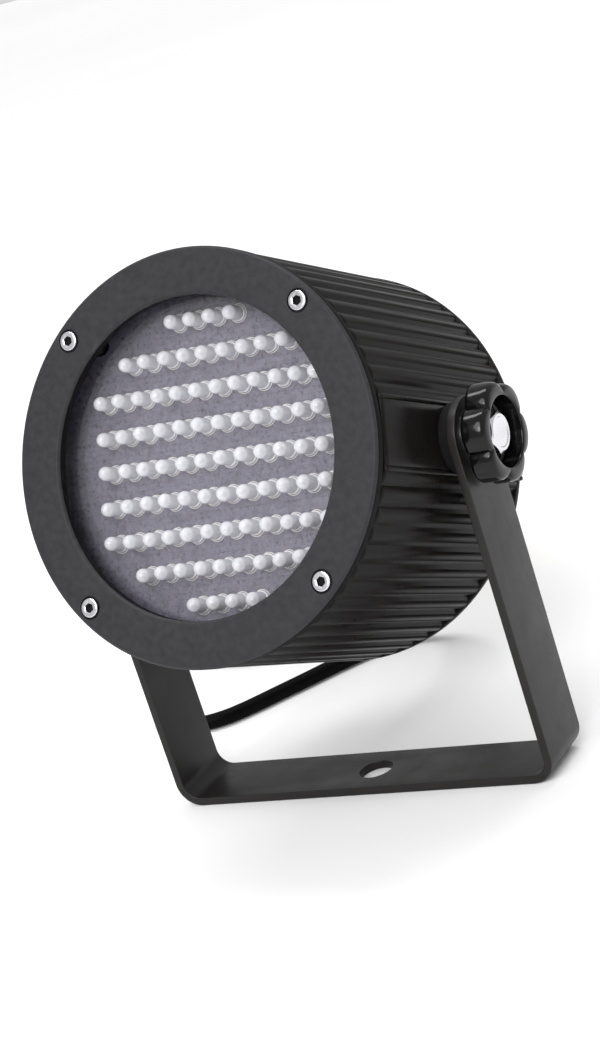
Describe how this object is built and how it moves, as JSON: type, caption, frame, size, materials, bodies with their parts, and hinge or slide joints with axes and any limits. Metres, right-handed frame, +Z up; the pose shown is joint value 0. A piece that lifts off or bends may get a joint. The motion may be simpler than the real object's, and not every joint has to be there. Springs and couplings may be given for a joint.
{
  "type": "par can light",
  "caption": "LED par can light with a ribbed round body and flat front ring, tilting in a flat-strap U yoke between two star knobs, with a rear panel and a coiled mains lead.",
  "frame": {"origin": "centre of the yoke's bolt hole, on the underside of the crossbar", "axes": "+X along the tilt axis to the right-hand knob, -Y towards the side the light leaves, +Z up along the arms"},
  "size_m": [0.2455, 0.2806, 0.2096],
  "materials": {
    "yoke_paint": "satin grey-black powder coat",
    "can_paint": "satin black",
    "ring_paint": "fine textured satin dark grey",
    "panel_paint": "satin black",
    "steel": "bright zinc",
    "dark_steel": "blackened",
    "brass": "turned",
    "aluminium": "mill finish",
    "gasket_rubber": "matt",
    "cord_pvc": "satin black",
    "clear_lens": "polished clear",
    "led_clear": "water-clear moulded",
    "board_white": "lacquered board",
    "board_green": "lacquered board",
    "resistor": "lacquer",
    "winding": "tape",
    "capacitor": "sleeve",
    "copper": "enamelled wire",
    "black_plastic": "moulded",
    "knob_plastic": "glossy moulded",
    "white_plastic": "moulded",
    "grey_plastic": "moulded",
    "display_filter": "tinted",
    "wire": "insulation",
    "fuse_glass": "clear"
  },
  "bodies": {
    "yoke": {"yoke_bracket": "yoke_paint", "arm_washers": "steel", "power_cord": "cord_pvc", "cord_coil": "cord_pvc", "cord_tie": "black_plastic", "mains_plug": "black_plastic", "plug_pins": "brass"},
    "can": {"can_body": "can_paint", "front_ring": "ring_paint", "front_screws": "steel", "front_gasket": "gasket_rubber", "lens": "clear_lens", "led_board": "board_white", "leds_red": "led_clear", "leds_green": "led_clear", "leds_blue": "led_clear", "led_resistors": "resistor", "board_standoffs": "brass", "board_screws": "steel", "driver_board": "board_green", "driver_transformer": "winding", "driver_capacitors": "capacitor", "driver_choke": "copper", "driver_heatsink": "aluminium", "driver_transistors": "black_plastic", "board_connectors": "white_plastic", "led_ribbon": "grey_plastic", "display_board": "board_green", "display_module": "black_plastic", "display_window": "display_filter", "button_switches": "grey_plastic", "display_spacers": "white_plastic", "rear_plate": "panel_paint", "rear_screws": "steel", "dmx_in_housing": "black_plastic", "dmx_in_pins": "brass", "dmx_out_housing": "black_plastic", "dmx_out_insert": "black_plastic", "socket_screws": "dark_steel", "fuse_holder": "black_plastic", "microphone": "aluminium", "gland_body": "black_plastic", "gland_locknut": "black_plastic", "gland_nut": "black_plastic", "strain_relief": "cord_pvc", "inner_lead": "cord_pvc", "mains_wires": "wire", "pivot_inserts": "brass", "friction_washers": "gasket_rubber"},
    "left_knob": {"left_knob": "knob_plastic", "left_bolt": "steel"},
    "right_knob": {"right_knob": "knob_plastic", "right_bolt": "steel"},
    "menu_button_1": {"menu_button_1": "grey_plastic"},
    "menu_button_2": {"menu_button_2": "grey_plastic"},
    "menu_button_3": {"menu_button_3": "grey_plastic"},
    "menu_button_4": {"menu_button_4": "grey_plastic"},
    "dmx_latch": {"dmx_out_latch": "steel"},
    "fuse_cap": {"fuse_cap": "black_plastic", "fuse": "fuse_glass"}
  },
  "joints": [
    {"name": "tilt", "type": "hinge", "parent": "yoke", "child": "can", "pos_m": [0, 0, 0.1235], "axis": [1, 0, 0], "range_deg": [-65, 115], "deforming": ["power_cord"]},
    {"name": "left_knob_turn", "type": "hinge", "parent": "can", "child": "left_knob", "pos_m": [0, 0, 0.1235], "axis": [-1, 0, 0], "continuous": true},
    {"name": "right_knob_turn", "type": "hinge", "parent": "can", "child": "right_knob", "pos_m": [0, 0, 0.1235], "axis": [1, 0, 0], "continuous": true},
    {"name": "menu_button_1_press", "type": "slide", "parent": "can", "child": "menu_button_1", "axis": [0, -0.9063, 0.4226], "range_m": [0, 0.0005], "stiffness_N_per_m": 1500},
    {"name": "menu_button_2_press", "type": "slide", "parent": "can", "child": "menu_button_2", "axis": [0, -0.9063, 0.4226], "range_m": [0, 0.0005], "stiffness_N_per_m": 1500},
    {"name": "menu_button_3_press", "type": "slide", "parent": "can", "child": "menu_button_3", "axis": [0, -0.9063, 0.4226], "range_m": [0, 0.0005], "stiffness_N_per_m": 1500},
    {"name": "menu_button_4_press", "type": "slide", "parent": "can", "child": "menu_button_4", "axis": [0, -0.9063, 0.4226], "range_m": [0, 0.0005], "stiffness_N_per_m": 1500},
    {"name": "dmx_latch_press", "type": "slide", "parent": "can", "child": "dmx_latch", "axis": [0, -0.9063, 0.4226], "range_m": [0, 0.001], "stiffness_N_per_m": 800},
    {"name": "fuse_cap_turn", "type": "hinge", "parent": "can", "child": "fuse_cap", "pos_m": [0, 0.03982, 0.09059], "axis": [0, 0.9063, -0.4226], "range_deg": [0, 90]}
  ]
}
